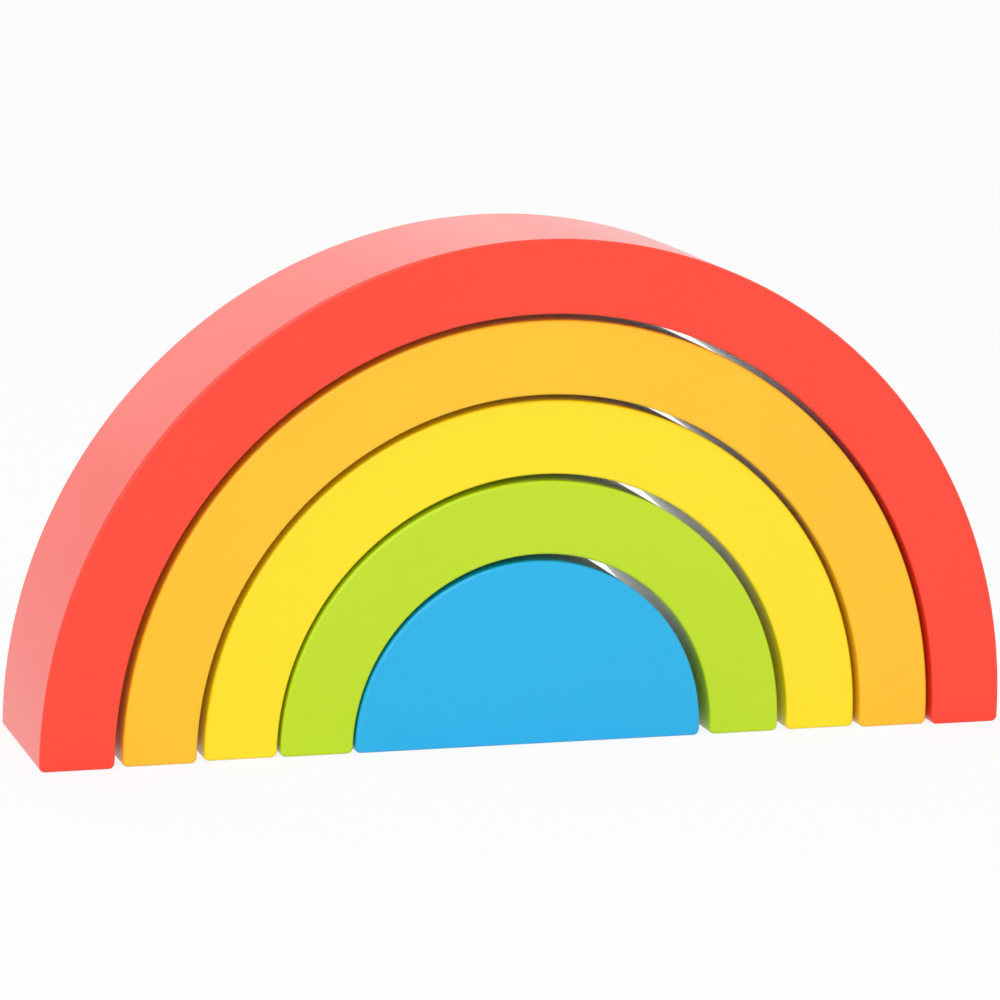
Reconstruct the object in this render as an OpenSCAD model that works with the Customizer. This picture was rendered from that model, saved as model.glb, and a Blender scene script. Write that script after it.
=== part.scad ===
// Rainbow stacker: four wooden arches nested over a half-round block.
// The pieces are loose. Each one stands on its own feet and slides out of the nest
// to the front or to the back.
// X runs along the width, Y to the back, Z up. The origin is on the table, under the middle
// of the outer arch.

/* [Nest] */
// Radius of the half-round block in the middle
block_radius = 36; // [20:0.5:60]
// Width of every arch, along the radius
band_width = 14.7; // [8:0.1:24]
// Clearance between one piece and the next, along the radius
nest_gap = 1.3; // [0.8:0.1:3]
// Depth of every piece, front to back
depth = 35; // [20:1:60]

/* [Rounding] */
// Radius of the front and back edges
edge_round = 0.6; // [0.4:0.1:3]
// Radius of the lower corners of the feet, which is also the height of the feet
foot_round = 1.2; // [0.6:0.1:4]

/* [Orange arch as it stands] */
// Distance behind the front of the outer arch
orange_set_back = 0.8; // [0:0.1:4]
// How far it stands to the right in its gap, as a share of the clearance
orange_aside = 0.25; // [-0.8:0.05:0.8]

/* [Yellow arch as it stands] */
// Distance behind the front of the outer arch
yellow_set_back = 1.9; // [0:0.1:4]
// How far it stands to the right in its gap, as a share of the clearance
yellow_aside = 0.25; // [-0.8:0.05:0.8]

/* [Green arch as it stands] */
// Distance behind the front of the outer arch
green_set_back = 1.7; // [0:0.1:4]
// How far it stands to the right in its gap, as a share of the clearance
green_aside = -0.55; // [-0.8:0.05:0.8]

/* [Blue block as it stands] */
// Distance behind the front of the outer arch
blue_set_back = 1.6; // [0:0.1:4]
// How far it stands to the right in its gap, as a share of the clearance
blue_aside = -0.7; // [-0.8:0.05:0.8]

/* [Hidden] */
$fn = 96;

// Each arch goes round the piece inside it, one pitch further out
pitch = band_width + nest_gap;
blue_r = block_radius;
green_r = blue_r + pitch;
yellow_r = green_r + pitch;
orange_r = yellow_r + pitch;
red_r = orange_r + pitch;

// Each piece stands aside from the one around it
orange_x = orange_aside * nest_gap;
yellow_x = orange_x + yellow_aside * nest_gap;
green_x = yellow_x + green_aside * nest_gap;
blue_x = green_x + blue_aside * nest_gap;

// The edges are rounded no further than the turn of a foot corner leaves room for
edge = min(edge_round, 0.9 * foot_round);

// A strip across the depth, from its straight start to its rounded far corners
module rounded_strip(length) {
    flat = depth / 2 - edge;
    translate([0, -depth / 2]) square([length - edge, depth]);
    translate([length - edge, -flat]) square([edge, 2 * flat]);
    for (side = [-1, 1])
        translate([length - edge, side * flat])
            intersection() {
                circle(edge);
                translate([0, side > 0 ? 0 : -edge]) square(edge);
            }
}

// Turns what is drawn about Z so that it turns about Y, upwards from +X
module upright() {
    rotate([90, 0, 0]) children();
}

// Half of a ring: the band of an arch, above its feet
module half_ring(r, width) {
    translate([0, 0, foot_round])
        upright()
            rotate_extrude(angle = 180)
                translate([r - width / 2, 0]) {
                    rounded_strip(width / 2);
                    mirror([1, 0]) rounded_strip(width / 2);
                }
}

// Half of a disc: the half-round block, above its foot
module half_disc(r) {
    translate([0, 0, foot_round])
        upright()
            rotate_extrude(angle = 180)
                rounded_strip(r);
}

// A foot from x0 to x1: the lower corners turn through a quarter circle, with a bar between them
module foot(x0, x1) {
    translate([x0 + foot_round, 0, foot_round])
        upright()
            rotate([0, 0, 180])
                rotate_extrude(angle = 90)
                    rounded_strip(foot_round);
    translate([x1 - foot_round, 0, foot_round])
        upright()
            rotate([0, 0, 270])
                rotate_extrude(angle = 90)
                    rounded_strip(foot_round);
    translate([x0 + foot_round, 0, foot_round])
        rotate([0, 90, 0])
            linear_extrude(height = x1 - x0 - 2 * foot_round)
                rounded_strip(foot_round);
}

module arch(r) {
    half_ring(r, band_width);
    foot(r - band_width, r);
    foot(-r, band_width - r);
}

module red_arch() {
    color("#f2483a")
        arch(red_r);
}

module orange_arch() {
    color("#f7bd38")
        translate([orange_x, orange_set_back, 0])
            arch(orange_r);
}

module yellow_arch() {
    color("#f8dd30")
        translate([yellow_x, yellow_set_back, 0])
            arch(yellow_r);
}

module green_arch() {
    color("#bfdd2c")
        translate([green_x, green_set_back, 0])
            arch(green_r);
}

module blue_half_round() {
    color("#33b1e6")
        translate([blue_x, blue_set_back, 0]) {
            half_disc(blue_r);
            foot(-blue_r, blue_r);
        }
}

red_arch();
orange_arch();
yellow_arch();
green_arch();
blue_half_round();
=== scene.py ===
# Rainbow stacker: four arches and a half-round block of painted beech, nested on a white table
import math

import bpy
from mathutils import Matrix, Vector


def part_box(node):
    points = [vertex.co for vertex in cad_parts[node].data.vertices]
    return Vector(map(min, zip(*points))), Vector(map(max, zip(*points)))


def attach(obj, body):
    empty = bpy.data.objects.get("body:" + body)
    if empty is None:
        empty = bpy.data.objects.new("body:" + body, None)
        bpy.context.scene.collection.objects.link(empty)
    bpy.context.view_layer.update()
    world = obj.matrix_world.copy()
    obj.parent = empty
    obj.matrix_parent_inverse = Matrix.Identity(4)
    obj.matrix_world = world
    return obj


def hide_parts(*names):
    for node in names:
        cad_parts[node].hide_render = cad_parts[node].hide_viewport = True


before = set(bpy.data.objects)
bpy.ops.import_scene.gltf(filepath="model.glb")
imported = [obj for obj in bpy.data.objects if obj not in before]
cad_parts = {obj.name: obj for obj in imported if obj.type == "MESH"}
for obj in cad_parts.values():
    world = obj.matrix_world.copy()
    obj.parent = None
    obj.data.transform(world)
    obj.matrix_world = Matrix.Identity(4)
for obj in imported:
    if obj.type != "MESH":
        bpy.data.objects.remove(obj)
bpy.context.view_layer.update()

# Red arch
# The outermost arch, sawn in one piece from a beech board. Its edges are eased, and it is sanded
# and sprayed all over with red enamel. It stands loose on its two feet, over the other pieces.
mm = 0.001
band_width = 14.7 * mm
edge_round = 0.6 * mm
foot_round = 1.2 * mm
arc_steps = 96
round_steps = 8
level_tolerance = 0.01 * mm
merge_distance = 0.001 * mm
sharp_angle = math.radians(45)
flat_face_weight = 100
red_coat = "#fa412b"
red_thin_coat = "#f83d26"
red_roughness = (0.16, 0.26)


def select_edges(piece, height, only_front_to_back=False):
    """Selects the edges that lie at a height, or only those of them that run from front to back.
    It leaves edit mode on."""
    bpy.ops.mesh.select_mode(type="EDGE")
    bpy.ops.mesh.select_all(action="DESELECT")
    bpy.ops.object.mode_set(mode="OBJECT")
    for edge in piece.data.edges:
        start, end = (piece.data.vertices[i].co for i in edge.vertices)
        level = all(abs(point.z - height) < level_tolerance for point in (start, end))
        front_to_back = abs(start.x - end.x) < level_tolerance
        edge.select = level and (front_to_back or not only_front_to_back)
    bpy.ops.object.mode_set(mode="EDIT")


def round_selected_edges(radius):
    """Rounds the selected edges. The foot corners take up the whole height of a foot."""
    bpy.ops.mesh.bevel(offset=radius, segments=round_steps, affect="EDGES", clamp_overlap=False)


def ease_edges(piece):
    """Rounds the foot corners, then the whole outline on the front and on the back."""
    select_edges(piece, 0, only_front_to_back=True)
    round_selected_edges(foot_round)
    bpy.ops.mesh.select_all(action="SELECT")
    bpy.ops.mesh.remove_doubles(threshold=merge_distance)
    bpy.ops.mesh.select_all(action="DESELECT")
    bpy.ops.mesh.edges_select_sharp(sharpness=sharp_angle)
    round_selected_edges(edge_round)
    bpy.ops.mesh.select_all(action="SELECT")
    bpy.ops.mesh.normals_make_consistent(inside=False)
    bpy.ops.object.mode_set(mode="OBJECT")
    bpy.ops.object.shade_smooth()
    weighted = piece.modifiers.new("flat faces stay flat", "WEIGHTED_NORMAL")
    weighted.weight = flat_face_weight
    bpy.ops.object.modifier_apply(modifier=weighted.name)


def saw_arch(name, node):
    """Models an arch in the place of its node: the section of one leg is spun over to the other."""
    low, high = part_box(node)
    outer_radius = (high.x - low.x) / 2
    centre = Vector(((low.x + high.x) / 2, (low.y + high.y) / 2, foot_round))
    leg = centre + Vector((outer_radius - band_width / 2, 0, 0))
    bpy.ops.object.select_all(action="DESELECT")
    bpy.ops.mesh.primitive_plane_add(size=1, location=leg)
    arch = bpy.context.object
    arch.name = name
    arch.scale = (band_width, high.y - low.y, 1)
    bpy.ops.object.transform_apply(location=True, rotation=True, scale=True)
    bpy.ops.object.mode_set(mode="EDIT")
    bpy.ops.mesh.select_all(action="SELECT")
    bpy.ops.mesh.spin(steps=arc_steps, angle=math.pi, center=centre, axis=(0, 1, 0))
    select_edges(arch, foot_round)
    bpy.ops.mesh.extrude_region_move(TRANSFORM_OT_translate={"value": (0, 0, -foot_round)})
    ease_edges(arch)
    return arch


def linear(hex_colour):
    """Turns an sRGB hex colour to linear RGBA."""
    parts = [int(hex_colour[i : i + 2], 16) / 255 for i in (1, 3, 5)]
    return [c / 12.92 if c <= 0.04045 else ((c + 0.055) / 1.055) ** 2.4 for c in parts] + [1]


def add_node(tree, kind, inputs=(), **settings):
    """Adds a node, sets its settings, and gives each named input a value or a link."""
    node = tree.nodes.new(kind)
    for name, value in settings.items():
        setattr(node, name, value)
    for name, value in dict(inputs).items():
        if isinstance(value, bpy.types.NodeSocket):
            tree.links.new(value, node.inputs[name])
        else:
            node.inputs[name].default_value = value
    return node


def enamel_on_beech(name, coat, thin_coat, roughness):
    """Sprayed enamel on sanded beech: an even opaque colour with a satin gloss. The coat varies a
    little in thickness, and the grain of the board, which runs along X, just shows through it."""
    smoothest, roughest = roughness
    cloud_size = 30 * mm
    cloud_detail = 2
    grain_length = 22 * mm
    grain_width = 0.7 * mm
    grain_depth = 0.012 * mm
    grain_detail = 3
    peel_size = 1.6 * mm
    peel_depth = 0.01 * mm
    peel_detail = 1
    enamel_ior = 1.5
    material = bpy.data.materials.new(name)
    material.use_nodes = True
    tree = material.node_tree
    tree.nodes.clear()
    place = add_node(tree, "ShaderNodeTexCoord").outputs["Object"]
    clouds = add_node(
        tree,
        "ShaderNodeTexNoise",
        {"Vector": place, "Scale": 1 / cloud_size, "Detail": cloud_detail},
    )
    colour = add_node(
        tree,
        "ShaderNodeMix",
        {"Factor": clouds.outputs["Fac"], "A": linear(coat), "B": linear(thin_coat)},
        data_type="RGBA",
    )
    along_grain = add_node(
        tree,
        "ShaderNodeMapping",
        {"Vector": place, "Scale": (1 / grain_length, 1 / grain_width, 1 / grain_width)},
    )
    grain = add_node(
        tree,
        "ShaderNodeTexNoise",
        {"Vector": along_grain.outputs["Vector"], "Scale": 1, "Detail": grain_detail},
    )
    peel = add_node(
        tree,
        "ShaderNodeTexNoise",
        {"Vector": place, "Scale": 1 / peel_size, "Detail": peel_detail},
    )
    gloss = add_node(
        tree,
        "ShaderNodeMapRange",
        {"Value": grain.outputs["Fac"], "To Min": smoothest, "To Max": roughest},
    )
    grain_bump = add_node(
        tree,
        "ShaderNodeBump",
        {"Height": grain.outputs["Fac"], "Strength": 1, "Distance": grain_depth},
    )
    peel_bump = add_node(
        tree,
        "ShaderNodeBump",
        {
            "Height": peel.outputs["Fac"],
            "Strength": 1,
            "Distance": peel_depth,
            "Normal": grain_bump.outputs["Normal"],
        },
    )
    shader = add_node(
        tree,
        "ShaderNodeBsdfPrincipled",
        {
            "Base Color": colour.outputs["Result"],
            "Roughness": gloss.outputs["Result"],
            "IOR": enamel_ior,
            "Normal": peel_bump.outputs["Normal"],
        },
    )
    add_node(tree, "ShaderNodeOutputMaterial", {"Surface": shader.outputs["BSDF"]})
    return material


red_arch = saw_arch("red_arch_painted", "red_arch")
red_arch.data.materials.append(
    enamel_on_beech("red enamel on beech", red_coat, red_thin_coat, red_roughness)
)
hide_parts("red_arch")
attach(red_arch, "red_arch")

# Orange arch
# The second arch, of the same board and the same width, sawn to fit loosely inside the red one.
# It is sprayed with an orange-yellow enamel. The pieces in the nest rub on each other as they slide
# out, so their gloss is a little duller than that of the red arch.
orange_coat = "#fac31f"
orange_thin_coat = "#f9be1a"
nested_roughness = (0.2, 0.3)
orange_arch = saw_arch("orange_arch_painted", "orange_arch")
orange_arch.data.materials.append(
    enamel_on_beech("orange enamel on beech", orange_coat, orange_thin_coat, nested_roughness)
)
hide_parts("orange_arch")
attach(orange_arch, "orange_arch")

# Yellow arch
# The third arch, sawn to fit loosely inside the orange one and sprayed with a clear yellow enamel.
# It stands a little further back than the arches beside it.
yellow_coat = "#fae110"
yellow_thin_coat = "#f9de09"
yellow_arch = saw_arch("yellow_arch_painted", "yellow_arch")
yellow_arch.data.materials.append(
    enamel_on_beech("yellow enamel on beech", yellow_coat, yellow_thin_coat, nested_roughness)
)
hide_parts("yellow_arch")
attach(yellow_arch, "yellow_arch")

# Green arch
# The smallest arch, sawn to fit loosely inside the yellow one and sprayed with a lime green enamel.
# Its opening holds the half-round block.
green_coat = "#bfde0b"
green_thin_coat = "#bbdb06"
green_arch = saw_arch("green_arch_painted", "green_arch")
green_arch.data.materials.append(
    enamel_on_beech("green enamel on beech", green_coat, green_thin_coat, nested_roughness)
)
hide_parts("green_arch")
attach(green_arch, "green_arch")

# Blue half-round block
# The solid middle of the board, a half disc that stands on its flat sawn side.
# It is eased and sanded like the arches and sprayed with a sky blue enamel.
blue_coat = "#10b2e9"
blue_thin_coat = "#0caee6"
low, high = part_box("blue_half_round")
block_radius = (high.x - low.x) / 2
block_centre = Vector(((low.x + high.x) / 2, low.y, foot_round))
bpy.ops.object.select_all(action="DESELECT")
bpy.ops.mesh.primitive_circle_add(
    vertices=2 * arc_steps,
    radius=block_radius,
    fill_type="NGON",
    location=block_centre,
    rotation=(math.pi / 2, 0, 0),
)
block = bpy.context.object
block.name = "blue_half_round_painted"
bpy.ops.object.transform_apply(location=True, rotation=True, scale=True)
bpy.ops.object.mode_set(mode="EDIT")
bpy.ops.mesh.select_all(action="SELECT")
bpy.ops.mesh.bisect(plane_co=block_centre, plane_no=(0, 0, 1), clear_inner=True)
select_edges(block, foot_round)
bpy.ops.mesh.extrude_region_move(TRANSFORM_OT_translate={"value": (0, 0, -foot_round)})
bpy.ops.mesh.select_all(action="SELECT")
bpy.ops.mesh.extrude_region_move(TRANSFORM_OT_translate={"value": (0, high.y - low.y, 0)})
ease_edges(block)
block.data.materials.append(
    enamel_on_beech("blue enamel on beech", blue_coat, blue_thin_coat, nested_roughness)
)
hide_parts("blue_half_round")
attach(block, "blue_half_round")

# Table and light
# A white table that runs out of sight, in the even light of a white room. A wide soft lamp stands
# in front, and smaller ones hang over the left side and behind. The table keeps a faint shadow.
table_size = 12
table_white = "#f0f0f0"
pure_white = "#ffffff"
shadow_share = 0.12
room_light = 0.72
front_lamp_place = Vector((-0.9, -2.4, 1.3))
front_lamp_size = 2.6
front_lamp_watts = 25
top_lamp_place = Vector((-0.6, -0.5, 1.6))
top_lamp_size = 1.4
top_lamp_watts = 6
back_lamp_place = Vector((0.0, 2.35, 0.9))
back_lamp_size = 1.8
back_lamp_watts = 1.5


def seen_directly(tree):
    """Is 1 for what the camera sees, also in a mirror or through glass, and 0 for light that
    scatters."""
    path = add_node(tree, "ShaderNodeLightPath").outputs
    plain = add_node(
        tree,
        "ShaderNodeMath",
        {0: path["Is Camera Ray"], 1: path["Is Glossy Ray"]},
        operation="MAXIMUM",
    )
    seen = add_node(
        tree,
        "ShaderNodeMath",
        {0: plain.outputs["Value"], 1: path["Is Transmission Ray"]},
        operation="MAXIMUM",
    )
    return seen.outputs["Value"]


def hang_lamp(name, place, size, watts):
    """Hangs a round soft lamp that points at the object."""
    bpy.ops.object.light_add(type="AREA", location=place)
    lamp = bpy.context.object
    lamp.name = name
    lamp.data.shape = "DISK"
    lamp.data.size = size
    lamp.data.energy = watts
    lamp.rotation_euler = (-place).to_track_quat("-Z", "Y").to_euler()


bpy.ops.object.select_all(action="DESELECT")
bpy.ops.mesh.primitive_plane_add(size=table_size, location=(0, 0, 0))
table = bpy.context.object
table.name = "table"
table_finish = bpy.data.materials.new("white laminate")
table_finish.use_nodes = True
tree = table_finish.node_tree
tree.nodes.clear()
white_share = add_node(
    tree, "ShaderNodeMath", {0: seen_directly(tree), 1: 1 - shadow_share}, operation="MULTIPLY"
)
laminate = add_node(tree, "ShaderNodeBsdfDiffuse", {"Color": linear(table_white)})
white = add_node(tree, "ShaderNodeEmission", {"Color": linear(pure_white), "Strength": 1})
surface = add_node(
    tree,
    "ShaderNodeMixShader",
    {0: white_share.outputs["Value"], 1: laminate.outputs["BSDF"], 2: white.outputs["Emission"]},
)
add_node(tree, "ShaderNodeOutputMaterial", {"Surface": surface.outputs["Shader"]})
table.data.materials.append(table_finish)

room = bpy.data.worlds.new("white room")
room.use_nodes = True
tree = room.node_tree
tree.nodes.clear()
level = add_node(
    tree, "ShaderNodeMapRange", {"Value": seen_directly(tree), "To Min": room_light, "To Max": 1}
)
walls = add_node(
    tree,
    "ShaderNodeBackground",
    {"Color": linear(pure_white), "Strength": level.outputs["Result"]},
)
add_node(tree, "ShaderNodeOutputWorld", {"Surface": walls.outputs["Background"]})
bpy.context.scene.world = room

hang_lamp("front lamp", front_lamp_place, front_lamp_size, front_lamp_watts)
hang_lamp("top lamp", top_lamp_place, top_lamp_size, top_lamp_watts)
hang_lamp("back lamp", back_lamp_place, back_lamp_size, back_lamp_watts)

# Camera
# It stands to the left of the middle and above the arches, with a long lens and slightly rolled.
# The lens and the sensor are in millimetres.
camera_place = Vector((-259.8, -746.4, 213.3)) * mm
turn_right = math.radians(18.94)
look_down = math.radians(11.955)
roll = math.radians(2.11)
lens = 145.96
sensor_width = 36
bpy.ops.object.camera_add(location=camera_place)
camera = bpy.context.object
camera.data.lens = lens
camera.data.sensor_width = sensor_width
heading = Matrix.Rotation(-turn_right, 3, "Z")
tilt = Matrix.Rotation(math.pi / 2 - look_down, 3, "X")
camera.rotation_euler = (heading @ tilt @ Matrix.Rotation(roll, 3, "Z")).to_euler()
bpy.context.scene.camera = camera
bpy.context.scene.view_settings.view_transform = "Standard"
